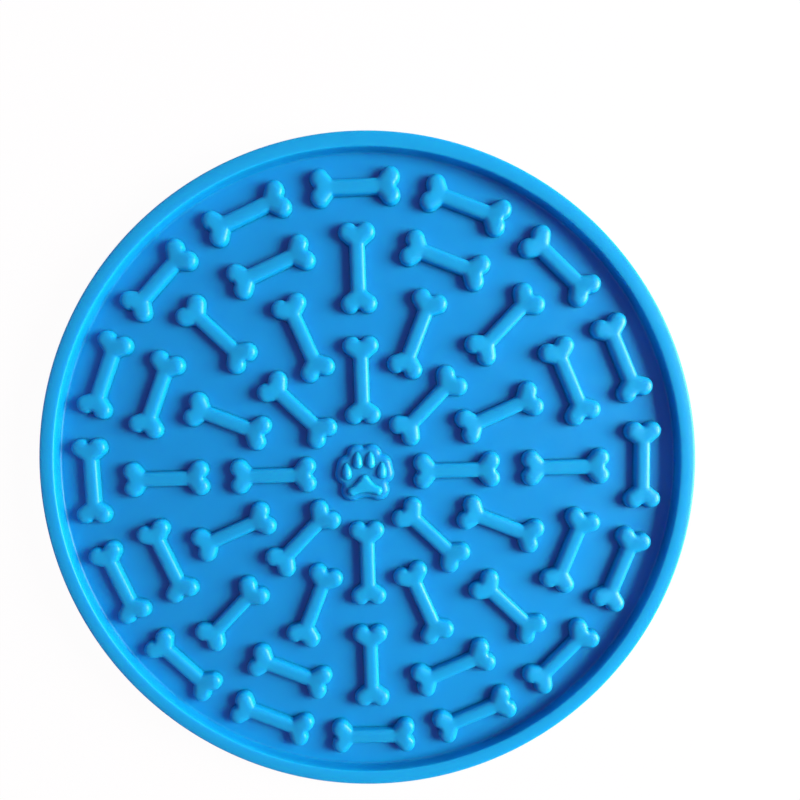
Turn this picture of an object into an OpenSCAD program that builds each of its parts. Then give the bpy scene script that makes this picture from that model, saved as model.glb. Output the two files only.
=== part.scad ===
// Round lick mat moulded in silicone: a thin floor inside a raised rim, three rings of raised
// bones set spoke by spoke round a paw, and rings of small suction cups underneath.
// The middle of the cups' lips is the origin, +Z is up and +Y runs from the heel of the paw to its toes.

/* [Mat] */
// Outside diameter of the mat
mat_d = 200; // [186:1:220]
// Thickness of the floor between the bones
floor_t = 2; // [1.6:0.1:3]
// Rounding of the lower outside edge
floor_edge_r = 0.8; // [0.4:0.1:1.4]

/* [Rim] */
// Width of the rim at its top
rim_w = 4.1; // [3.4:0.1:5]
// Height of the rim over the floor
rim_h = 4.8; // [3.8:0.1:6.5]
// Rounding of both top edges of the rim
rim_edge_r = 1.1; // [0.6:0.1:1.4]
// Draft of the rim's inside wall, in degrees
rim_draft = 3; // [1:0.5:6]
// Free floor between the rim and the outer ring of bones
rim_gap = 4.5; // [3:0.1:6]

/* [Bones] */
// Number of spokes, which is the number of bones in each ring
spokes = 16; // [12:2:16]
// Length of a bone at its foot
bone_l = 27; // [23:0.5:28]
// Width of a bone across its knuckles
bone_w = 11.3; // [10.5:0.1:11.8]
// Radius of a knuckle at its foot
knuckle_r = 3; // [2.8:0.05:3.2]
// Height of a knuckle over the floor
knuckle_h = 3.2; // [3:0.1:3.8]
// Rounding of the top of a knuckle
knuckle_edge_r = 2; // [1.4:0.1:2.2]
// Width of the shaft at its foot
shaft_w = 4.9; // [4.4:0.1:5.4]
// Height of the shaft over the floor
shaft_h = 2.8; // [2.4:0.1:2.9]
// Rounding of the top of the shaft
shaft_edge_r = 1.6; // [1:0.1:1.8]
// Amount by which the flank between shaft and knuckle lies inside the knuckle
flank_step = 0.3; // [0.3:0.05:0.5]
// Slant of the flanks against the shaft, in degrees
flank_slant = 52; // [46:1:58]
// Draft of the side walls of the bones, in degrees
bone_draft = 7; // [3:1:10]

/* [Paw] */
// Width of the raised base of the paw
paw_w = 18.4; // [16:0.2:19.6]
// Height of that base over the floor
paw_h = 2; // [1.6:0.1:2.6]
// Rounding of the top edge of the base
paw_edge_r = 1.5; // [1:0.1:1.5]
// Height of the heel pad over the base
pad_h = 1.3; // [1:0.1:1.6]
// Rounding of the top edge of the heel pad
pad_edge_r = 1; // [0.6:0.1:1]
// Length of a toe
toe_l = 5.4; // [4.8:0.1:5.8]
// Radius of the round end of a toe
toe_r = 1.55; // [1.3:0.05:1.6]
// Radius of the pointed end of a toe
toe_tip_r = 0.5; // [0.3:0.05:0.8]
// Depth of a toe's axis below the top of the base
toe_sink = 0.25; // [0:0.05:0.5]
// Draft of the side walls of the paw, in degrees
paw_draft = 10; // [5:1:12]

/* [Suction cups] */
// Height of a suction cup
cup_h = 3.6; // [2.8:0.1:5]
// Radius of a cup at its lip
cup_lip_r = 7.4; // [6:0.1:8.5]
// Radius of a cup where it joins the floor
cup_neck_r = 4.6; // [3.6:0.1:5.6]
// Thickness of the lip
cup_lip_t = 0.8; // [0.5:0.1:1.2]
// Depth of the hollow in a cup
cup_hollow = 2; // [1.2:0.1:2.2]
// Distance from one ring of cups to the next
cup_pitch = 27.5; // [24:0.5:29]

/* [Hidden] */
$fn = 64;
floor_top = cup_h + floor_t;
rim_foot_r = mat_d / 2 - rim_w - rim_h * tan(rim_draft);
// Run of a flank past the middle line of the bone
flank_overrun = 0.6;

// Places of the bones' middles: the outer ring keeps its gap to the rim, and the free floor
// between it and the paw is shared out from the paw outwards.
// On even spokes the shares lie before the inner bone, between the two bones and after the second.
even_gap_shares = [0.35, 0.39, 0.26];
// On odd spokes they lie before the inner bone, between it and the crosswise bone and after that one.
odd_gap_shares = [0.7, 0.125, 0.175];
paw_r = paw_w / 2;
outer_ring_r = rim_foot_r - rim_gap - bone_w / 2;
pattern_r = outer_ring_r - bone_w / 2;
even_free = pattern_r - paw_r - 2 * bone_l;
odd_free = pattern_r - paw_r - bone_l - bone_w;
inner_even_r = paw_r + even_gap_shares[0] * even_free + bone_l / 2;
middle_even_r = inner_even_r + bone_l + even_gap_shares[1] * even_free;
inner_odd_r = paw_r + odd_gap_shares[0] * odd_free + bone_l / 2;
middle_odd_r = inner_odd_r + bone_l / 2 + odd_gap_shares[1] * odd_free + bone_w / 2;

// Paw base: rounded bosses as [x, y, radius], in shares of the paw's width. The paw is mirrored
// left to right, so those off the middle are drawn twice.
boss_shares = [
    [0, 0.03, 0.353], // body
    [0.122, 0.32, 0.172], // behind an inner toe
    [0.285, 0.14, 0.184], // behind an outer toe
    [0.321, -0.01, 0.179], // below that
    [0.223, -0.268, 0.196] // heel corner
];
heel_corner_share = boss_shares[4];
heel_web_share = 0.16;
// Toes as [x, y, lean in degrees]: the middle of each toe, in shares of the paw's width.
toe_shares = [[0.107, 0.223, 1], [0.296, 0.043, 2.5]];
// Size of a toe's tapered middle against its round ends, just under 1 so that they cross cleanly.
toe_waist_share = 0.98;
// Heel pad: the tip, a lower corner and the end of the low crossbar, in the same shares.
pad_tip_share = [0, -0.103, 0.081];
pad_corner_share = [0.217, -0.296, 0.079];
pad_bar_share = [0.12, -0.23, 0.087];

CUP_RINGS = ["centre_cup", "inner_cups", "middle_cups", "outer_cups"];
BONE_RINGS = ["inner_bone_", "middle_bone_", "outer_bone_"];
TOES = ["left_outer_toe", "left_inner_toe", "right_inner_toe", "right_outer_toe"];

// Half width of the flat on top of a drafted wall of foot half width w, height h and edge radius r.
function flat_half(w, h, r, draft) = w - r * cos(draft) - (h - r + r * sin(draft)) * tan(draft);

// Right half of the section of a moulded boss: drafted wall, rounded edge, flat top.
module half_section(w, h, r, draft) {
    flat = flat_half(w, h, r, draft);
    tangent = [flat + r * cos(draft), h - r + r * sin(draft)];
    polygon([[0, 0], [w, 0], tangent, [flat, h - r], [flat, h], [0, h]]);
    translate([flat, h - r])
        intersection() {
            circle(r);
            square(r);
        }
}

// Round boss standing on z = 0.
module boss(w, h, r, draft) {
    rotate_extrude()
        half_section(w, h, r, draft);
}

// Straight boss from one point of the plan to another.
module ridge(from, to, w, h, r, draft) {
    run = to - from;
    translate([from[0], from[1], 0])
        rotate([90, 0, 90 + atan2(run[1], run[0])])
            linear_extrude(norm(run)) {
                half_section(w, h, r, draft);
                mirror([1, 0])
                    half_section(w, h, r, draft);
            }
}

module mat_floor() {
    color("#1a8fd8")
    translate([0, 0, cup_h])
        rotate_extrude() {
            square([mat_d / 2 - floor_edge_r, floor_t]);
            translate([0, floor_edge_r])
                square([mat_d / 2, floor_t - floor_edge_r]);
            translate([mat_d / 2 - floor_edge_r, floor_edge_r])
                intersection() {
                    circle(floor_edge_r);
                    translate([0, -floor_edge_r])
                        square(floor_edge_r);
                }
        }
}

// The rim stands on the edge of the floor, flush with it outside.
module rim() {
    wall_w = mat_d / 2 - rim_foot_r;
    color("#1fa6e6")
    translate([0, 0, floor_top])
        rotate_extrude() {
            translate([mat_d / 2 - rim_edge_r, 0])
                mirror([1, 0])
                    half_section(wall_w - rim_edge_r, rim_h, rim_edge_r, rim_draft);
            translate([mat_d / 2 - rim_edge_r, 0])
                square([rim_edge_r, rim_h - rim_edge_r]);
            translate([mat_d / 2 - rim_edge_r, rim_h - rim_edge_r])
                intersection() {
                    circle(rim_edge_r);
                    square(rim_edge_r);
                }
        }
}

// One bone along X: a shaft, and at each end two round knuckles with slanting flanks to the shaft.
module bone() {
    knuckle = [bone_l / 2 - knuckle_r, bone_w / 2 - knuckle_r];
    flank_end = knuckle - (knuckle[1] + flank_overrun) * [1 / tan(flank_slant), 1];
    ridge([-knuckle[0], 0], [knuckle[0], 0], shaft_w / 2, shaft_h, shaft_edge_r, bone_draft);
    for (end = [-1, 1])
        for (side = [-1, 1]) {
            at = [end * knuckle[0], side * knuckle[1]];
            translate([at[0], at[1], 0])
                boss(knuckle_r, knuckle_h, knuckle_edge_r, bone_draft);
            ridge(at, [end * flank_end[0], side * flank_end[1]],
                knuckle_r - flank_step, shaft_h, shaft_edge_r, bone_draft);
        }
}

// Spoke k counts clockwise from the toes' side of the paw.
module on_spoke(k, r, turn) {
    rotate([0, 0, 90 - k * 360 / spokes])
        translate([r, 0, floor_top])
            rotate([0, 0, turn])
                children();
}

// Inner ring: every bone points outwards, and every second one stands further out.
module inner_bone(k) {
    color("#22a9f0")
    on_spoke(k, k % 2 == 0 ? inner_even_r : inner_odd_r, 0)
        bone();
}

// Middle ring: bones point outwards and lie crosswise in turn.
module middle_bone(k) {
    color("#22a9f0")
    on_spoke(k, k % 2 == 0 ? middle_even_r : middle_odd_r, k % 2 == 0 ? 0 : 90)
        bone();
}

// Outer ring: every bone lies crosswise, along the rim.
module outer_bone(k) {
    color("#22a9f0")
    on_spoke(k, outer_ring_r, 90)
        bone();
}

// Lobed base of the paw: one flat top with a rounded edge, notched between the lobes.
module paw_base() {
    color("#1d9ce4")
    translate([0, 0, floor_top]) {
        for (b = boss_shares)
            for (side = b[0] == 0 ? [1] : [-1, 1])
                translate([side * b[0] * paw_w, b[1] * paw_w, 0])
                    boss(b[2] * paw_w, paw_h, paw_edge_r, paw_draft);
        ridge([-heel_corner_share[0], heel_corner_share[1]] * paw_w,
            [heel_corner_share[0], heel_corner_share[1]] * paw_w,
            heel_web_share * paw_w, paw_h, paw_edge_r, paw_draft);
    }
}

// Three-cornered heel pad, hollow along its lower edge.
module heel_pad() {
    tip = [pad_tip_share[0], pad_tip_share[1]] * paw_w;
    color("#22a9f0")
    translate([0, 0, floor_top + paw_h]) {
        translate([tip[0], tip[1], 0])
            boss(pad_tip_share[2] * paw_w, pad_h, pad_edge_r, paw_draft);
        ridge([-pad_bar_share[0], pad_bar_share[1]] * paw_w, [pad_bar_share[0], pad_bar_share[1]] * paw_w,
            pad_bar_share[2] * paw_w, pad_h, pad_edge_r, paw_draft);
        for (side = [-1, 1]) {
            corner = [side * pad_corner_share[0], pad_corner_share[1]] * paw_w;
            translate([corner[0], corner[1], 0])
                boss(pad_corner_share[2] * paw_w, pad_h, pad_edge_r, paw_draft);
            ridge(corner, tip, pad_corner_share[2] * paw_w, pad_h, pad_edge_r, paw_draft);
        }
    }
}

// Half of a lying drop: round end towards the heel, pointed end outwards.
module toe(i) {
    side = i < 2 ? -1 : 1;
    at = toe_shares[i == 0 || i == 3 ? 1 : 0];
    reach = toe_l - toe_r - toe_tip_r;
    taper = asin((toe_r - toe_tip_r) / reach);
    color("#22a9f0")
    translate([side * at[0] * paw_w, at[1] * paw_w, floor_top + paw_h])
        rotate([0, 0, -side * at[2]])
            intersection() {
                translate([0, toe_r - toe_l / 2, -toe_sink])
                    rotate([-90, 0, 0])
                        rotate_extrude() {
                            intersection() {
                                circle(toe_r);
                                translate([0, -toe_r])
                                    square([toe_r, 2 * toe_r]);
                            }
                            polygon([
                                [0, 0],
                                toe_waist_share * toe_r * [cos(taper), sin(taper)],
                                [0, reach] + toe_waist_share * toe_tip_r * [cos(taper), sin(taper)],
                                [0, reach]
                            ]);
                            translate([0, reach])
                                intersection() {
                                    circle(toe_tip_r);
                                    translate([0, -toe_tip_r])
                                        square([toe_tip_r, 2 * toe_tip_r]);
                                }
                        }
                translate([-toe_l / 2, -toe_l, 0])
                    cube([toe_l, 2 * toe_l, toe_r]);
            }
}

// One suction cup: a flared wall round a shallow bowl that opens downwards.
module suction_cup() {
    mouth_r = cup_lip_r - cup_lip_t;
    bowl_r = (mouth_r * mouth_r + cup_hollow * cup_hollow) / (2 * cup_hollow);
    difference() {
        union() {
            cylinder(h = cup_lip_t, r = cup_lip_r);
            translate([0, 0, cup_lip_t])
                cylinder(h = cup_h - cup_lip_t, r1 = cup_lip_r, r2 = cup_neck_r);
        }
        translate([0, 0, cup_hollow - bowl_r])
            sphere(bowl_r);
    }
}

// Ring i holds six cups for each step of the pitch, and the first ring is a single cup.
module cup_ring(i) {
    count = i == 0 ? 1 : 6 * i;
    color("#1787cd")
    for (k = [0:count - 1])
        rotate([0, 0, 90 + k * 360 / count])
            translate([i * cup_pitch, 0, 0])
                suction_cup();
}

mat_floor();
rim();
paw_base();
heel_pad();
for (i = [0:len(TOES) - 1])
    toe(i);
for (k = [1:spokes]) {
    inner_bone(k - 1);
    middle_bone(k - 1);
    outer_bone(k - 1);
}
for (i = [0:len(CUP_RINGS) - 1])
    cup_ring(i);
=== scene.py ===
"""Looks of a round lick mat moulded in blue silicone rubber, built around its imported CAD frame.

The body is spun from one profile, each bone is a drawn outline that is inset ring by ring into a
moulded ridge, the paw is cast in the same way from lobed outlines, and the cups are spun.
"""
import logging
import math
from dataclasses import dataclass, field, replace
from enum import Enum
from typing import Any, Iterable

import bmesh
import bpy
from mathutils import Euler, Matrix, Vector


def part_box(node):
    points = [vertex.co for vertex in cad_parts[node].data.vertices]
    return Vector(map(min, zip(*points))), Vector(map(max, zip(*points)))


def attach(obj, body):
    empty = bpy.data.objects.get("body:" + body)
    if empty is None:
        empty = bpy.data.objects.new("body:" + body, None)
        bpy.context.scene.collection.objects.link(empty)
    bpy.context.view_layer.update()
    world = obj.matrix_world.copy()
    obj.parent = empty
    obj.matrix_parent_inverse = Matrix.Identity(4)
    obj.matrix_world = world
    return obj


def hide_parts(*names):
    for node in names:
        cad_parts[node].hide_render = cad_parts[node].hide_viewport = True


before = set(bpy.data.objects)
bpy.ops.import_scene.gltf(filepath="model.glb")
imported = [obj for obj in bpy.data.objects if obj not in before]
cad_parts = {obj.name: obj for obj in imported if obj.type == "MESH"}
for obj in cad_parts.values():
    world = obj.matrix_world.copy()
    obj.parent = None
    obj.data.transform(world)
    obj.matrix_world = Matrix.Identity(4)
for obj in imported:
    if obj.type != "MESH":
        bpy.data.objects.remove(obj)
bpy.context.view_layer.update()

MM = 0.001
MERGE_DISTANCE = 0.001 * MM
SHARP_DEGREES = 50.0
SPOKES = 16
BODY_NAME = "root"
UP = Vector((0, 0, 1))
WHITE = (1.0, 1.0, 1.0, 1.0)

log = logging.getLogger("lick_mat")


def linear(hex_code: str) -> tuple[float, float, float, float]:
    """Turn an sRGB hex colour into linear RGBA.

    Args:
        hex_code: six hex digits, with or without a leading hash sign.

    Returns:
        The colour in linear light, with an alpha of 1.
    """
    digits = hex_code.lstrip("#")
    channels = [int(digits[i:i + 2], 16) / 255 for i in (0, 2, 4)]
    red, green, blue = (c / 12.92 if c <= 0.04045 else ((c + 0.055) / 1.055) ** 2.4 for c in channels)
    return red, green, blue, 1.0


def add_node(
    tree: bpy.types.NodeTree,
    kind: str,
    values: dict[Any, Any] | None = None,
    links: dict[Any, bpy.types.NodeSocket] | None = None,
    **settings: Any,
) -> bpy.types.Node:
    """Add a node with its settings, input values and links.

    Args:
        tree: the node tree that gets the node.
        kind: the node's type name.
        values: input socket name or number to its fixed value.
        links: input socket name or number to the output that feeds it.
        settings: attributes of the node itself.

    Returns:
        The new node.
    """
    node = tree.nodes.new(kind)
    for name, value in settings.items():
        setattr(node, name, value)
    for socket, value in (values or {}).items():
        node.inputs[socket].default_value = value
    for socket, source in (links or {}).items():
        tree.links.new(source, node.inputs[socket])
    return node


def smooth_step(value: float, start: float, end: float) -> float:
    """Rise from 0 at start to 1 at end, with level ends.

    Args:
        value: where to read the curve.
        start: where it leaves 0.
        end: where it reaches 1.

    Returns:
        A share from 0 to 1.
    """
    share = min(max((value - start) / (end - start), 0.0), 1.0)
    return share * share * (3 - 2 * share)


def mix(low: float, high: float, share: float) -> float:
    """Blend from low to high by a share."""
    return low + (high - low) * share


def middle_of(node: str) -> Vector:
    """Give the middle of a CAD node's box, at the level of its foot."""
    low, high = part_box(node)
    return Vector(((low.x + high.x) / 2, (low.y + high.y) / 2, low.z))


class Chain:
    """A line of edges that is drawn from point to point with arcs and straight runs."""

    LEAST_STEPS = 3

    def __init__(self, start: Iterable[float], normal: Iterable[float]) -> None:
        """Start a chain.

        Args:
            start: its first point.
            normal: the axis that its arcs turn about.
        """
        self.bm = bmesh.new()
        self.normal = Vector(normal)
        self.tip = bmesh.ops.create_vert(self.bm, co=Vector(start))["vert"][0]

    def arc(self, centre: Iterable[float], degrees: float, steps: int) -> "Chain":
        """Go on round a centre.

        Args:
            centre: the middle of the arc.
            degrees: how far it turns, right-handed about the chain's normal.
            steps: number of edges.

        Returns:
            The chain itself.
        """
        spun = bmesh.ops.spin(
            self.bm, geom=[self.tip], cent=Vector(centre), axis=self.normal,
            angle=math.radians(degrees), steps=steps, use_merge=False, use_duplicate=False,
        )
        self.tip = next(e for e in spun["geom_last"] if isinstance(e, bmesh.types.BMVert))
        return self

    def line(self, end: Iterable[float], steps: int = 1) -> "Chain":
        """Go straight on to a point.

        Args:
            end: the point.
            steps: number of edges.

        Returns:
            The chain itself.
        """
        stride = (Vector(end) - self.tip.co) / steps
        for _ in range(steps):
            self.tip = bmesh.ops.extrude_vert_indiv(self.bm, verts=[self.tip])["verts"][0]
            bmesh.ops.translate(self.bm, verts=[self.tip], vec=stride)
        return self

    def bend(self, centre: Vector, end: Vector, sense: int, stride: float) -> "Chain":
        """Go on round a centre as far as a point.

        Args:
            centre: the middle of the bend.
            end: where it ends.
            sense: 1 counter-clockwise seen from above, -1 clockwise.
            stride: longest edge.

        Returns:
            The chain itself.
        """
        first, last = self.tip.co - centre, end - centre
        turn = (math.atan2(last.y, last.x) - math.atan2(first.y, first.x)) * sense % math.tau
        steps = max(math.ceil(turn * first.length / stride), self.LEAST_STEPS)
        return self.arc(centre, math.degrees(turn) * sense, steps)

    def filled(self) -> bmesh.types.BMesh:
        """Fill the closed outline with one face that looks up.

        Returns:
            The bmesh.
        """
        bmesh.ops.remove_doubles(self.bm, verts=self.bm.verts, dist=MERGE_DISTANCE)
        bmesh.ops.contextual_create(self.bm, geom=self.bm.edges[:])
        bmesh.ops.recalc_face_normals(self.bm, faces=self.bm.faces)
        if self.bm.faces[:][0].normal.z < 0:
            bmesh.ops.reverse_faces(self.bm, faces=self.bm.faces)
        return self.bm

    def spun(self, steps: int, axis: Iterable[float] = UP) -> bmesh.types.BMesh:
        """Turn the chain once round an axis through the origin into a closed skin.

        Args:
            steps: number of steps round.
            axis: the axis's direction.

        Returns:
            The skin, with its normals outwards.
        """
        bmesh.ops.spin(
            self.bm, geom=self.bm.verts[:] + self.bm.edges[:], cent=Vector(), axis=Vector(axis),
            angle=math.tau, steps=steps, use_merge=True, use_duplicate=False,
        )
        return closed_skin(self.bm)


def closed_skin(bm: bmesh.types.BMesh) -> bmesh.types.BMesh:
    """Merge doubles and turn all faces outwards.

    Args:
        bm: a closed skin, or several.

    Returns:
        The same bmesh.
    """
    bmesh.ops.remove_doubles(bm, verts=bm.verts, dist=MERGE_DISTANCE)
    bmesh.ops.dissolve_degenerate(bm, edges=bm.edges, dist=MERGE_DISTANCE)
    bmesh.ops.recalc_face_normals(bm, faces=bm.faces)
    return bm


def joined(parts: Iterable[bmesh.types.BMesh]) -> bmesh.types.BMesh:
    """Put several skins into one bmesh.

    Args:
        parts: the skins, which are freed.

    Returns:
        One bmesh with all of them.
    """
    whole = bmesh.new()
    for part in parts:
        mesh = bpy.data.meshes.new("joining")
        part.to_mesh(mesh)
        part.free()
        whole.from_mesh(mesh)
        bpy.data.meshes.remove(mesh)
    return whole


def placed(bm: bmesh.types.BMesh, at: Vector, degrees: float = 0.0) -> bmesh.types.BMesh:
    """Turn a skin about the vertical and move it.

    Args:
        bm: the skin.
        at: where its origin goes.
        degrees: the turn, counter-clockwise seen from above.

    Returns:
        The same bmesh.
    """
    matrix = Matrix.Translation(at) @ Matrix.Rotation(math.radians(degrees), 4, "Z")
    bmesh.ops.transform(bm, matrix=matrix, verts=bm.verts)
    return bm


def ringed(bm: bmesh.types.BMesh, insets: list[float]) -> bmesh.types.BMLayerItem:
    """Stand a wall on a filled outline and inset its top ring by ring.

    Args:
        bm: a bmesh with one face that looks up.
        insets: the way in from the outline to each ring, from 0 upwards.

    Returns:
        A vertex layer that numbers the rings, with -1 on the outline below the wall.
    """
    ring = bm.verts.layers.int.new("ring")
    for vert in bm.verts:
        vert[ring] = -1
    raised = bmesh.ops.extrude_face_region(bm, geom=bm.faces[:])["geom"]
    top = next(e for e in raised if isinstance(e, bmesh.types.BMFace))
    if top.normal.z < 0:
        top.normal_flip()
    for i, inwards in enumerate(insets):
        if i:
            bmesh.ops.inset_region(
                bm, faces=[top], use_boundary=True, use_even_offset=True,
                thickness=inwards - insets[i - 1], depth=0.0,
            )
        for vert in top.verts:
            vert[ring] = i
    bmesh.ops.triangulate(bm, faces=[top])
    return ring


def cut_below(bm: bmesh.types.BMesh, level: float) -> bmesh.types.BMesh:
    """Cut a skin off flat at a level, keep what is above it and close the cut.

    Args:
        bm: the skin.
        level: height of the cut.

    Returns:
        The same bmesh.
    """
    cut = bmesh.ops.bisect_plane(
        bm, geom=bm.verts[:] + bm.edges[:] + bm.faces[:], dist=MERGE_DISTANCE,
        plane_co=(0, 0, level), plane_no=-UP, clear_outer=True, clear_inner=False,
    )
    edges = [e for e in cut["geom_cut"] if isinstance(e, bmesh.types.BMEdge)]
    bmesh.ops.contextual_create(bm, geom=edges)
    bmesh.ops.recalc_face_normals(bm, faces=bm.faces)
    return bm


class Slot(Enum):
    """Names of material slots; none of the pieces below uses them."""

    RIM = "rim_silicone"
    BONE = "bone_silicone"
    PAW = "paw_silicone"
    CUP = "cup_silicone"


@dataclass(frozen=True)
class SiliconeFinish:
    """Liquid silicone rubber moulded in one shot against a fine-blasted steel mould.

    That gives the eye an even, strongly coloured skin with a satin gloss and a faint haze of grain
    that breaks up the highlights. Light enters the rubber and glows back, so small raised forms
    stay bright on the side that is turned away from the lamp. On top of that the colour is painted
    deeper low down and paler higher up: painted shade on the floor and at the feet of raised forms,
    and painted light on their tops.
    """

    name: str
    # The first colour is painted light, shown higher up; the second is painted shade, shown low down. Both
    # also drift a little with the pigment.
    colour: str
    shade_and_tone_colour: str
    refraction: float = 1.41
    # Heights in mm, in the Object's own coordinates, between which the colour goes from painted shade to
    # painted light.
    painted_shade_mm: float = 5.6
    painted_light_mm: float = 7.8
    roughness_low: float = 0.3
    roughness_high: float = 0.4
    gloss: float = 0.33
    grain_mm: float = 0.45
    grain_depth_mm: float = 0.012
    grain_detail: float = 3.0
    flow_mm: float = 26.0
    flow_detail: float = 2.0
    flow_share: float = 0.2
    wave_mm: float = 7.0
    wave_depth_mm: float = 0.05
    wave_detail: float = 4.0
    wave_range: tuple[float, float] = (0.3, 0.7)
    glow: float = 1.0
    glow_mm: float = 2.0
    glow_reach: tuple[float, float, float] = (0.3, 0.9, 1.2)

    def material(self) -> bpy.types.Material:
        """Build the finish, or give the one that is there.

        Returns:
            A node material that reads Object coordinates, in metres.
        """
        known = bpy.data.materials.get(self.name)
        if known:
            return known
        made = bpy.data.materials.new(self.name)
        made.use_nodes = True
        tree = made.node_tree
        tree.nodes.clear()
        place = add_node(tree, "ShaderNodeTexCoord").outputs["Object"]
        # Painted shade and light: the colour is painted deeper low down and paler higher up.
        level = add_node(tree, "ShaderNodeSeparateXYZ", links={0: place})
        thickness = add_node(
            tree, "ShaderNodeMapRange", {"From Min": self.painted_shade_mm * MM, "From Max": self.painted_light_mm * MM},
            {"Value": level.outputs["Z"]}, interpolation_type="SMOOTHSTEP",
        )
        # The pigment is mixed into the rubber, so the colour only drifts slowly across the part.
        flow = add_node(
            tree, "ShaderNodeTexNoise",
            {"Scale": 1 / (self.flow_mm * MM), "Detail": self.flow_detail}, {"Vector": place},
        )
        # Painted shade and light by height, plus the pigment's slow drift, choose between the two colours.
        painted_light_and_tone = add_node(
            tree, "ShaderNodeMath", {1: self.flow_share}, {0: flow.outputs[0], 2: thickness.outputs[0]},
            operation="MULTIPLY_ADD", use_clamp=True,
        )
        colour = add_node(
            tree, "ShaderNodeMix", {6: linear(self.shade_and_tone_colour), 7: linear(self.colour)},
            {0: painted_light_and_tone.outputs[0]}, data_type="RGBA",
        )
        # A hot mould leaves patches that are a little glossier than their neighbours.
        patches = add_node(
            tree, "ShaderNodeTexNoise",
            {"Scale": 1 / (self.wave_mm * MM), "Detail": self.wave_detail}, {"Vector": place},
        )
        roughness = add_node(
            tree, "ShaderNodeMapRange",
            {
                "From Min": self.wave_range[0], "From Max": self.wave_range[1],
                "To Min": self.roughness_low, "To Max": self.roughness_high,
            },
            {"Value": patches.outputs[0]},
        )
        # Rubber is soft, so flat faces are never quite flat: long shallow waves bend the highlights.
        waves = add_node(
            tree, "ShaderNodeBump", {"Strength": 1.0, "Distance": self.wave_depth_mm * MM},
            {"Height": patches.outputs[0]},
        )
        grain = add_node(
            tree, "ShaderNodeTexNoise",
            {"Scale": 1 / (self.grain_mm * MM), "Detail": self.grain_detail}, {"Vector": place},
        )
        # The blasted mould leaves a fine grain that softens the edge of each highlight.
        skin = add_node(
            tree, "ShaderNodeBump", {"Strength": 1.0, "Distance": self.grain_depth_mm * MM},
            {"Height": grain.outputs[0], "Normal": waves.outputs[0]},
        )
        surface = add_node(
            tree, "ShaderNodeBsdfPrincipled",
            {
                "IOR": self.refraction, "Metallic": 0.0, "Specular IOR Level": self.gloss,
                "Subsurface Weight": self.glow, "Subsurface Radius": self.glow_reach,
                "Subsurface Scale": self.glow_mm * MM,
            },
            {"Base Color": colour.outputs[2], "Roughness": roughness.outputs[0], "Normal": skin.outputs[0]},
        )
        add_node(tree, "ShaderNodeOutputMaterial", links={"Surface": surface.outputs[0]})
        return made


# Each finish goes from its deeper colour, painted shade at the foot, to its first colour, painted light
# higher up. The floor and rim, the bones and the paw are one rubber; their colours are also set a little
# apart as painted light and shade, the bones a little deeper and the paw paler.
BODY_RUBBER = SiliconeFinish(
    "moulded silicone rubber, floor and rim", "0CADDA", "0A9AD2", painted_shade_mm=7.5, painted_light_mm=9.9
)
BONE_RUBBER = SiliconeFinish("moulded silicone rubber, bones", "0DA9D6", "099AD3", painted_light_mm=7.8)
PAW_RUBBER = SiliconeFinish("moulded silicone rubber, paw", "0DB4E0", "0996D0", painted_shade_mm=7.3, painted_light_mm=8.4)
# The lips have to seal, so the mould is polished there and the cups come out glossier than the rest.
CUP_RUBBER = SiliconeFinish(
    "polished silicone rubber, suction cups", "169CD2", "1492CC", painted_shade_mm=0.0, painted_light_mm=3.6,
    roughness_low=0.18, roughness_high=0.26,
)


def make_piece(
    name: str, bm: bmesh.types.BMesh, finish: SiliconeFinish, nodes: Iterable[str]
) -> bpy.types.Object:
    """Turn a skin into a dressed piece that stands for some CAD nodes.

    Args:
        name: name of the piece.
        bm: its skin, which is freed.
        finish: what it is made of.
        nodes: the CAD nodes that it replaces.

    Returns:
        The finished object.
    """
    mesh = bpy.data.meshes.new(name)
    bm.to_mesh(mesh)
    bm.free()
    mesh.shade_smooth()
    mesh.set_sharp_from_angle(angle=math.radians(SHARP_DEGREES))
    mesh.materials.append(finish.material())
    piece = bpy.data.objects.new(name, mesh)
    bpy.context.scene.collection.objects.link(piece)
    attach(piece, BODY_NAME)
    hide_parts(*nodes)
    log.info("%s: %d faces", name, len(mesh.polygons))
    return piece


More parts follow.
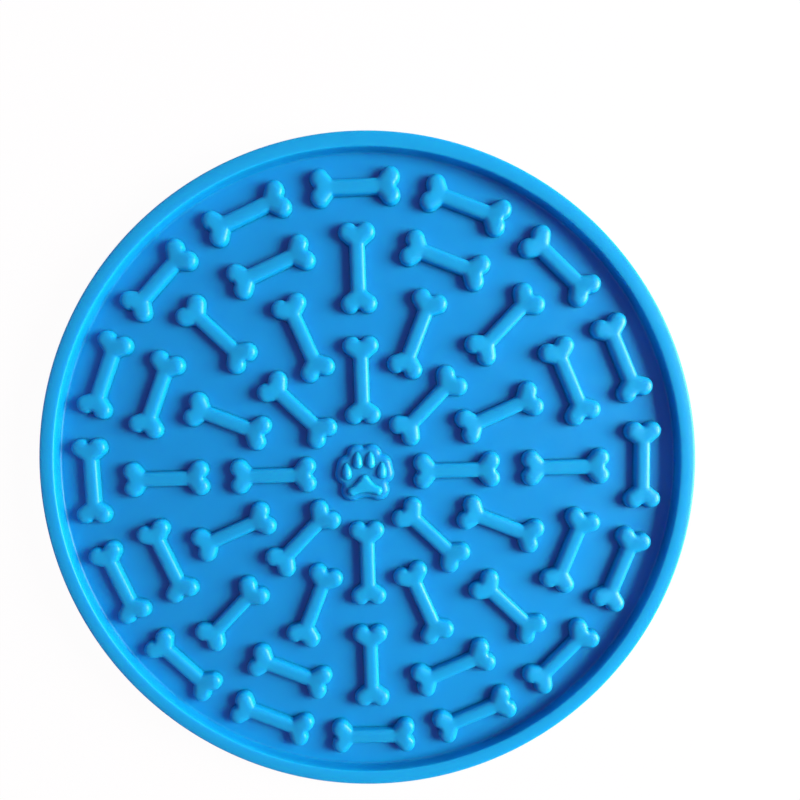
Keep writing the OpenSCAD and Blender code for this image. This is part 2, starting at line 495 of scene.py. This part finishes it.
@dataclass
class MatBody:
    """The thin round floor and the rim round it, in one skin."""

    rim_width: float = 4.1 * MM
    # The rim's band is a little wider in the photograph than in the CAD.
    overreach: float = 0.4 * MM
    foot_edge: float = 0.8 * MM
    crown_reach: float = 2.2 * MM
    crown_radius: float = 12.0 * MM
    rim_outside: float = 0.6 * MM
    rim_inside: float = 0.45 * MM
    root: float = 0.8 * MM
    draft: float = 3.0
    steps: int = 384
    back_steps: int = 12
    floor_steps: int = 24
    wall_steps: int = 4
    edge_steps: int = 6
    crown_steps: int = 10

    def shoulder(self, crown: Vector, at: float, edge: float) -> tuple[float, Vector]:
        """Fit a round edge against the crown of the rim.

        Args:
            crown: centre of the crown's arc.
            at: distance of the edge's centre from the mat's axis.
            edge: radius of the edge.

        Returns:
            The crown's tilt in degrees where the edge begins, outwards positive, and the edge's centre.
        """
        reach = self.crown_radius - edge
        tilt = math.asin((at - crown.x) / reach)
        return math.degrees(tilt), Vector((at, 0, crown.z + reach * math.cos(tilt)))

    def build(self) -> bpy.types.Object:
        """Spin the body from its profile.

        Returns:
            The piece.
        """
        low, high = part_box("mat_floor")
        rim_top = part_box("rim")[1].z
        radius = high.x + self.overreach
        draft = math.radians(self.draft)
        crown = Vector((radius - self.crown_reach, 0, rim_top - self.crown_radius))
        outer_tilt, outer_heart = self.shoulder(crown, radius - self.rim_outside, self.rim_outside)
        inner_at = high.x - self.rim_width + self.rim_inside
        inner_tilt, inner_heart = self.shoulder(crown, inner_at, self.rim_inside)
        profile = Chain((0, 0, low.z), (0, -1, 0))
        profile.line((radius - self.foot_edge, 0, low.z), self.back_steps)
        profile.arc((radius - self.foot_edge, 0, low.z + self.foot_edge), 90, self.edge_steps)
        profile.line((radius, 0, outer_heart.z), self.wall_steps)
        profile.arc(outer_heart, 90 - outer_tilt, self.edge_steps)
        profile.arc(crown, outer_tilt - inner_tilt, self.crown_steps)
        profile.arc(inner_heart, 90 + inner_tilt - self.draft, self.edge_steps)
        drop = profile.tip.co.z - high.z - self.root
        foot = profile.tip.co + Vector((-drop * math.tan(draft), 0, -drop))
        profile.line(foot, self.wall_steps)
        heart = foot + self.root * Vector((-math.cos(draft), 0, math.sin(draft)))
        profile.arc(heart, self.draft - 90, self.edge_steps)
        profile.line((0, 0, profile.tip.co.z), self.floor_steps)
        return make_piece("mat_body", profile.spun(self.steps), BODY_RUBBER, ["mat_floor", "rim"])


class Turn(Enum):
    """How a bone lies on its spoke."""

    RADIAL = 0.0
    CROSSWISE = 90.0


@dataclass
class BoneMould:
    """The one bone shape that all forty-eight are cast from, along X with its foot at z = 0."""

    length: float
    width: float
    knuckle_height: float
    shaft_height: float = 2.8 * MM
    knuckle: float = 3.0 * MM
    shaft: float = 2.45 * MM
    slant: float = 52.0
    root: float = 0.12 * MM
    notch: float = 0.4 * MM
    corner: float = 0.15 * MM
    wall_share: float = 0.4
    wall_lean: float = 0.14 * MM
    knuckle_wall_share: float = 0.36
    sink: float = 0.1 * MM
    crown_power: float = 2.8
    knuckle_power: float = 2.6
    root_turn: float = 28.0
    root_rings: int = 4
    crown_turn: float = 88.0
    crown_rings: int = 10
    valley: float = 0.09 * MM
    valley_half: float = 1.3 * MM
    crest: float = 0.6
    soft_ring: int = 9
    soft_passes: int = 4
    soft_share: float = 0.5
    notch_steps: int = 5
    round_steps: int = 30
    slope_steps: int = 4
    corner_steps: int = 4
    shaft_steps: int = 9

    def plan(self) -> bmesh.types.BMesh:
        """Draw the foot outline by quarters and fill it.

        Returns:
            A bmesh with one face.
        """
        knuckle, shaft = self.knuckle + self.root, self.shaft + self.root
        heart = Vector((self.length / 2 - self.knuckle, self.width / 2 - self.knuckle, 0))
        notch_x = heart.x + math.sqrt((knuckle + self.notch) ** 2 - heart.y ** 2)
        open_turn = math.degrees(math.atan2(heart.y, heart.x - notch_x))
        slant = math.radians(self.slant)
        along = Vector((math.cos(slant), math.sin(slant), 0))
        shoulder = heart + knuckle * Vector((-along.y, along.x, 0))
        bend = shoulder - along * ((shoulder.y - shaft) / along.y)
        reach = self.corner * math.tan(slant / 2)
        quarter = Chain((notch_x - self.notch, 0, 0), UP)
        quarter.arc((notch_x, 0, 0), open_turn - 180, self.notch_steps)
        quarter.arc(heart, 90 + self.slant - (open_turn - 180), self.round_steps)
        quarter.line(bend + along * reach, self.slope_steps)
        quarter.arc((bend.x - reach, shaft + self.corner, 0), -self.slant, self.corner_steps)
        quarter.line((0, shaft, 0), self.shaft_steps)
        bm = quarter.bm
        for axis in ("Y", "X"):
            bmesh.ops.mirror(
                bm, geom=bm.verts[:] + bm.edges[:], matrix=Matrix.Identity(4),
                merge_dist=MERGE_DISTANCE, axis=axis,
            )
        return quarter.filled()

    def insets(self) -> list[float]:
        """List how far in from the foot outline each ring lies: the fillet, then the crown."""
        fillet = [self.root * math.sin(math.radians(self.root_turn * i)) for i in range(self.root_rings)]
        start, crown = self.root + self.wall_lean, self.shaft - self.wall_lean
        turns = [math.radians(self.crown_turn * i / self.crown_rings) for i in range(self.crown_rings + 1)]
        return fillet + [start + crown * (1 - math.cos(turn) ** (2 / self.crown_power)) for turn in turns]

    def rise(self, inwards: float, height: float, half: float, wall_share: float, power: float) -> float:
        """Give the height of the ridge at a way in from its foot outline.

        Args:
            inwards: the way in.
            height: height of the crown.
            half: half width at the foot of the wall.
            wall_share: share of the height that the wall takes.
            power: fullness of the crown, 2 for an ellipse.

        Returns:
            The height there.
        """
        if inwards < self.root:
            return self.root - math.sqrt(self.root ** 2 - inwards ** 2)
        share = min((inwards - self.root - self.wall_lean) / (half - self.wall_lean), 1.0)
        return height * (wall_share + (1 - wall_share) * (1 - (1 - share) ** power) ** (1 / power))

    def cast(self) -> bmesh.types.BMesh:
        """Raise the ridge from the plan.

        Returns:
            A closed skin.
        """
        bm = self.plan()
        insets = self.insets()
        ring = ringed(bm, insets)
        neck = self.length / 2 - 2 * self.knuckle
        for vert in bm.verts:
            if vert[ring] < 0:
                vert.co.z = -self.sink
                continue
            share = smooth_step(abs(vert.co.x), neck - self.knuckle / 2, neck + self.knuckle)
            between = share * math.exp(-(vert.co.y / self.valley_half) ** 2)
            inwards = insets[vert[ring]]
            # The shaft's crest runs on between the knuckles, so the crease behind the notch stays short.
            inwards += self.crest * between * max(inwards - self.root - self.wall_lean, 0.0)
            shaft = self.rise(inwards, self.shaft_height, self.shaft, self.wall_share, self.crown_power)
            knuckle = self.rise(
                inwards, self.knuckle_height, self.knuckle, self.knuckle_wall_share, self.knuckle_power
            )
            height = mix(shaft, knuckle, share)
            vert.co.z = height - self.valley * between * height / self.knuckle_height
        crown = [vert for vert in bm.verts if vert[ring] >= self.soft_ring]
        for _ in range(self.soft_passes):
            bmesh.ops.smooth_vert(bm, verts=crown, factor=self.soft_share, use_axis_z=True)
        return closed_skin(bm)


@dataclass
class BoneRing:
    """Sixteen bones, one on each spoke."""

    name: str
    turns: tuple[Turn, Turn]

    def build(self, mould: BoneMould) -> list[bpy.types.Object]:
        """Cast and place the ring's bones.

        Args:
            mould: the shape of each bone.

        Returns:
            One piece a bone.
        """
        pieces = []
        for k in range(SPOKES):
            node = f"{self.name}_bone_{k + 1}"
            spoke = 90 - k * 360 / SPOKES
            skin = placed(mould.cast(), middle_of(node), spoke + self.turns[k % 2].value)
            pieces.append(make_piece(f"moulded_{node}", skin, BONE_RUBBER, [node]))
        return pieces


@dataclass(frozen=True)
class Lobe:
    """A round of an outline, and the web that leads from it to the next round.

    A positive web is the radius of a hollow bend, a negative one that of a full bend, and 0 is straight.
    """

    x: float
    y: float
    radius: float
    web: float = 0.0

    @property
    def heart(self) -> Vector:
        """The middle of the round."""
        return Vector((self.x, self.y, 0))

    def bridge(self, other: "Lobe") -> tuple[Vector, Vector, Vector | None]:
        """Find the web to the next round, counter-clockwise.

        Args:
            other: the next round.

        Returns:
            Where the web leaves this round and where it meets the other, and its middle if it is bent.
        """
        run = other.heart - self.heart
        way = run.normalized()
        out = Vector((way.y, -way.x, 0))
        if self.web == 0:
            lean = (self.radius - other.radius) / run.length
            side = way * lean + out * math.sqrt(1 - lean ** 2)
            return self.heart + side * self.radius, other.heart + side * other.radius, None
        near, far = self.web + self.radius, self.web + other.radius
        along = (near ** 2 - far ** 2 + run.length ** 2) / (2 * run.length)
        middle = self.heart + way * along + out * math.copysign(math.sqrt(near ** 2 - along ** 2), self.web)
        leave = self.heart + (middle - self.heart) * (self.radius / near)
        return leave, other.heart + (middle - other.heart) * (other.radius / far), middle


@dataclass(frozen=True)
class LobedForm:
    """A moulded form with a lobed outline that is alike on both sides of the Y axis."""

    half: tuple[Lobe, ...]
    closing_web: float
    height: float
    edge: float
    fullness: float = 2.0
    first_turn: float = 4.0
    rings: int = 12
    stride: float = 0.16 * MM
    sink: float = 0.1 * MM

    def lobes(self) -> list[Lobe]:
        """List the rounds counter-clockwise, from the lowest on the right to the lowest on the left."""
        left = []
        for i in reversed(range(len(self.half))):
            web = self.half[i - 1].web if i else self.closing_web
            if self.half[i].x:
                left.append(replace(self.half[i], x=-self.half[i].x, web=web))
        return [*self.half, *left]

    def cast(self) -> bmesh.types.BMesh:
        """Draw the outline and raise it to a pillow with round edges.

        Returns:
            A closed skin with its foot at z = 0.
        """
        lobes = self.lobes()
        bridges = [lobe.bridge(lobes[(i + 1) % len(lobes)]) for i, lobe in enumerate(lobes)]
        chain = Chain(bridges[-1][1], UP)
        for lobe, (leave, meet, middle) in zip(lobes, bridges):
            chain.bend(lobe.heart, leave, 1, self.stride)
            if middle is None:
                chain.line(meet, max(math.ceil((meet - leave).length / self.stride), 1))
            else:
                chain.bend(middle, meet, -1 if lobe.web > 0 else 1, self.stride)
        bm = chain.filled()
        section = []
        for i in range(self.rings + 1):
            turn = math.radians(mix(self.first_turn, 90, i / self.rings))
            inwards = 1 - math.cos(turn) ** (2 / self.fullness)
            section.append((self.edge * inwards, self.height * math.sin(turn) ** (2 / self.fullness)))
        first = section[0][0]
        ring = ringed(bm, [inwards - first for inwards, _ in section])
        for vert in bm.verts:
            vert.co.z = section[vert[ring]][1] if vert[ring] >= 0 else -self.sink
        return closed_skin(bm)


@dataclass
class Paw:
    """The paw in the middle: a lobed base, a heel pad and four toes."""

    base_edge: float = 2.0 * MM
    pad_edge: float = 1.3 * MM
    # Place, radius and web of each round from the bottom up, in shares of the paw's width.
    base_lobes: tuple[tuple[float, float, float, float], ...] = (
        (0.22, -0.287, 0.193, 0.03),
        (0.321, -0.016, 0.181, 0.0),
        (0.285, 0.137, 0.185, 0.022),
        (0.121, 0.316, 0.175, 0.022),
    )
    base_hollow: float = 0.3
    pad_lobes: tuple[tuple[float, float, float, float], ...] = (
        (0.215, -0.298, 0.08, 0.36), (0.0, -0.108, 0.087, 0.36),
    )
    pad_hollow: float = 0.43
    # Place in the same shares and lean in degrees, of an inner toe and of an outer toe.
    toe_shares: tuple[tuple[float, float, float], ...] = ((0.107, 0.223, 1.0), (0.296, 0.043, 2.5))
    toe_length: float = 5.4 * MM
    toe_radius: float = 1.55 * MM
    toe_tip: float = 0.7 * MM
    toe_bulge: float = 6.0 * MM
    toe_sink: float = 0.25 * MM
    toe_steps: int = 40
    heel_stride: float = 0.15 * MM
    flank_stride: float = 0.3 * MM
    tip_stride: float = 0.1 * MM
    width: float = field(init=False)
    floor_top: float = field(init=False)
    base_top: float = field(init=False)
    pad_height: float = field(init=False)

    def __post_init__(self) -> None:
        """Take the paw's size and levels from the frame."""
        low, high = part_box("paw_base")
        self.width = high.x - low.x
        self.floor_top, self.base_top = low.z, high.z
        pad_low, pad_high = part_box("heel_pad")
        self.pad_height = pad_high.z - pad_low.z

    def form(
        self, shares: tuple[tuple[float, ...], ...], hollow: float, height: float, edge: float
    ) -> bmesh.types.BMesh:
        """Cast a lobed form.

        Args:
            shares: place, radius and web of each lobe from the bottom up, in shares of the paw's width.
            hollow: web across the bottom, in the same shares.
            height: height over its foot.
            edge: width of the round edge.

        Returns:
            A closed skin.
        """
        half = tuple(Lobe(*(value * self.width for value in lobe)) for lobe in shares)
        return LobedForm(half, hollow * self.width, height, edge).cast()

    def base(self) -> bpy.types.Object:
        """Cast the lobed base.

        Returns:
            The piece.
        """
        skin = self.form(self.base_lobes, self.base_hollow, self.base_top - self.floor_top, self.base_edge)
        at = Vector((0, 0, self.floor_top))
        return make_piece("moulded_paw_base", placed(skin, at), PAW_RUBBER, ["paw_base"])

    def heel(self) -> bpy.types.Object:
        """Cast the three-cornered heel pad.

        Returns:
            The piece.
        """
        skin = self.form(self.pad_lobes, self.pad_hollow, self.pad_height, self.pad_edge)
        at = Vector((0, 0, self.base_top))
        return make_piece("moulded_heel_pad", placed(skin, at), PAW_RUBBER, ["heel_pad"])

    def toe(self, node: str, side: int, share: tuple[float, float, float]) -> bpy.types.Object:
        """Spin one lying drop with full flanks.

        Args:
            node: the CAD node that it replaces.
            side: -1 on the left, 1 on the right.
            share: its place in shares of the paw's width, and its lean in degrees.

        Returns:
            The piece.
        """
        reach = self.toe_length - self.toe_radius - self.toe_tip
        heel = Lobe(0.0, 0.0, self.toe_radius, -self.toe_bulge)
        tip = Lobe(0.0, reach, self.toe_tip)
        leave, meet, middle = heel.bridge(tip)
        chain = Chain((0, -self.toe_radius, 0), UP)
        chain.bend(heel.heart, leave, 1, self.heel_stride)
        chain.bend(middle, meet, 1, self.flank_stride)
        chain.bend(tip.heart, Vector((0, reach + self.toe_tip, 0)), 1, self.tip_stride)
        skin = chain.spun(self.toe_steps, axis=(0, 1, 0))
        shift = Vector((0, self.toe_radius - self.toe_length / 2, -self.toe_sink))
        bmesh.ops.translate(skin, verts=skin.verts, vec=shift)
        skin = cut_below(skin, -self.toe_sink)
        x, y, lean = share
        at = Vector((side * x * self.width, y * self.width, self.base_top))
        return make_piece(f"moulded_{node}", placed(skin, at, -side * lean), PAW_RUBBER, [node])

    def build(self) -> list[bpy.types.Object]:
        """Build the whole paw.

        Returns:
            Its six pieces.
        """
        pieces = [self.base(), self.heel()]
        for name, side in (("left", -1), ("right", 1)):
            pieces.append(self.toe(f"{name}_inner_toe", side, self.toe_shares[0]))
            pieces.append(self.toe(f"{name}_outer_toe", side, self.toe_shares[1]))
        return pieces


@dataclass
class SuctionCups:
    """The rings of suction cups moulded on the back."""

    rings: tuple[str, ...] = ("centre_cup", "inner_cups", "middle_cups", "outer_cups")
    neck: float = 4.6 * MM
    lip: float = 0.8 * MM
    hollow: float = 2.0 * MM
    sink: float = 0.1 * MM
    lip_edge: float = 0.35 * MM
    per_ring: int = 6
    steps: int = 48
    bowl_steps: int = 12
    edge_steps: int = 5
    skirt_steps: int = 8
    neck_steps: int = 3

    def cup(self, radius: float, height: float) -> bmesh.types.BMesh:
        """Spin one cup.

        Args:
            radius: radius at the lip.
            height: height from the lip to the floor's underside.

        Returns:
            A closed skin with its lip at z = 0.
        """
        mouth = radius - self.lip
        bowl = (mouth ** 2 + self.hollow ** 2) / (2 * self.hollow)
        turn = math.degrees(math.asin(mouth / bowl))
        chain = Chain((0, 0, self.hollow), (0, 1, 0))
        chain.arc((0, 0, self.hollow - bowl), turn, self.bowl_steps)
        chain.line((radius - self.lip_edge, 0, 0))
        chain.arc((radius - self.lip_edge, 0, self.lip_edge), -90, self.edge_steps)
        chain.line((radius, 0, self.lip))
        chain.line((self.neck, 0, height), self.skirt_steps)
        chain.line((self.neck, 0, height + self.sink))
        chain.line((0, 0, height + self.sink), self.neck_steps)
        return chain.spun(self.steps)

    def build(self) -> list[bpy.types.Object]:
        """Build the rings of cups.

        Returns:
            One piece a ring.
        """
        low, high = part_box(self.rings[0])
        radius, height = high.x, high.z - low.z
        pieces = []
        for i, node in enumerate(self.rings):
            count = max(self.per_ring * i, 1)
            ring_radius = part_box(node)[1].y - radius
            cups = []
            for k in range(count):
                turn = math.radians(90 + k * 360 / count)
                at = Vector((math.cos(turn), math.sin(turn), 0)) * ring_radius
                cups.append(placed(self.cup(radius, height), at))
            pieces.append(make_piece(f"moulded_{node}", joined(cups), CUP_RUBBER, [node]))
        return pieces


@dataclass(frozen=True)
class Lamp:
    """A soft box that looks at the middle of the mat."""

    name: str
    azimuth: float
    elevation: float
    distance: float
    width: float
    height: float
    watts: float

    def hang(self) -> bpy.types.Object:
        """Put the lamp in the scene.

        Returns:
            Its object.
        """
        data = bpy.data.lights.new(self.name, "AREA")
        data.shape = "RECTANGLE"
        data.size, data.size_y = self.width, self.height
        data.energy = self.watts
        lamp = bpy.data.objects.new(self.name, data)
        bpy.context.scene.collection.objects.link(lamp)
        turn, rise = math.radians(self.azimuth), math.radians(self.elevation)
        way = Vector((math.cos(turn) * math.cos(rise), math.sin(turn) * math.cos(rise), math.sin(rise)))
        lamp.location = way * self.distance
        lamp.rotation_euler = way.to_track_quat("Z", "Y").to_euler()
        return lamp


@dataclass
class Studio:
    """Camera, white table and lamps."""

    camera_place: tuple[float, float, float] = (8.43 * MM, 22.55 * MM, 229.24 * MM)
    camera_turn: tuple[float, float, float] = (-6.598, 1.178, -1.831)
    lens: float = 32.4
    sensor: float = 36.0
    near: float = 1.0 * MM
    shift: tuple[float, float] = (0.0317, 0.1031)
    table_half: float = 3.0
    table_drop: float = 0.05 * MM
    table_white: float = 0.97
    table_colour: tuple[float, float, float, float] = (0.8, 0.8, 0.8, 1.0)
    ambient: tuple[float, float, float, float] = (0.5, 0.12, 0.28, 1.0)
    lamps: tuple[Lamp, ...] = (
        Lamp("key", azimuth=2.0, elevation=28.0, distance=1.0, width=0.6, height=0.5, watts=21.5),
    )

    def camera(self) -> None:
        """Set the camera at the photograph's viewing angle."""
        data = bpy.data.cameras.new("camera")
        data.lens = self.lens
        data.sensor_width = self.sensor
        data.sensor_fit = "HORIZONTAL"
        data.shift_x, data.shift_y = self.shift
        data.clip_start = self.near
        camera = bpy.data.objects.new("camera", data)
        bpy.context.scene.collection.objects.link(camera)
        camera.location = self.camera_place
        camera.rotation_euler = Euler([math.radians(angle) for angle in self.camera_turn], "XYZ")
        bpy.context.scene.camera = camera

    def table(self) -> None:
        """Lay the white table that takes the mat's shadow."""
        bm = bmesh.new()
        bmesh.ops.create_grid(bm, x_segments=1, y_segments=1, size=self.table_half)
        bmesh.ops.translate(bm, verts=bm.verts, vec=-UP * self.table_drop)
        mesh = bpy.data.meshes.new("table")
        bm.to_mesh(mesh)
        bm.free()
        made = bpy.data.materials.new("matt white laminate")
        made.use_nodes = True
        tree = made.node_tree
        tree.nodes.clear()
        rays = add_node(tree, "ShaderNodeLightPath")
        # Most of what the camera sees of the table is plain white, and the rest of it takes the shadow.
        seen = add_node(
            tree, "ShaderNodeMath", {1: self.table_white}, {0: rays.outputs["Is Camera Ray"]},
            operation="MULTIPLY",
        )
        matt = add_node(tree, "ShaderNodeBsdfDiffuse", {"Color": self.table_colour})
        bright = add_node(tree, "ShaderNodeEmission", {"Strength": 1.0})
        both = add_node(
            tree, "ShaderNodeMixShader",
            links={0: seen.outputs[0], 1: matt.outputs[0], 2: bright.outputs[0]},
        )
        add_node(tree, "ShaderNodeOutputMaterial", links={"Surface": both.outputs[0]})
        mesh.materials.append(made)
        table = bpy.data.objects.new("table", mesh)
        bpy.context.scene.collection.objects.link(table)

    def world(self) -> None:
        """Fill the room with weak light of a purplish tint, and show it white to the camera."""
        world = bpy.data.worlds.new("studio")
        world.use_nodes = True
        tree = world.node_tree
        tree.nodes.clear()
        rays = add_node(tree, "ShaderNodeLightPath")
        shown = add_node(
            tree, "ShaderNodeMix", {6: self.ambient, 7: WHITE}, {0: rays.outputs["Is Camera Ray"]},
            data_type="RGBA",
        )
        sky = add_node(tree, "ShaderNodeBackground", {"Strength": 1.0}, {"Color": shown.outputs[2]})
        add_node(tree, "ShaderNodeOutputWorld", links={"Surface": sky.outputs[0]})
        bpy.context.scene.world = world

    def build(self) -> None:
        """Set up the whole studio."""
        self.camera()
        self.table()
        self.world()
        for lamp in self.lamps:
            lamp.hang()
        bpy.context.scene.view_settings.view_transform = "Standard"


def main() -> None:
    """Build the body, the bones, the paw and the cups, then the studio."""
    logging.basicConfig(level=logging.INFO, format="%(name)s: %(message)s")
    MatBody().build()
    # The first outer bone lies along X, so its box gives the length, width and height of every bone.
    low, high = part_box("outer_bone_1")
    mould = BoneMould(length=high.x - low.x, width=high.y - low.y, knuckle_height=high.z - low.z)
    rings = (
        BoneRing("inner", (Turn.RADIAL, Turn.RADIAL)),
        BoneRing("middle", (Turn.RADIAL, Turn.CROSSWISE)),
        BoneRing("outer", (Turn.CROSSWISE, Turn.CROSSWISE)),
    )
    for ring in rings:
        ring.build(mould)
    Paw().build()
    SuctionCups().build()
    Studio().build()


if __name__ == "__main__":
    main()
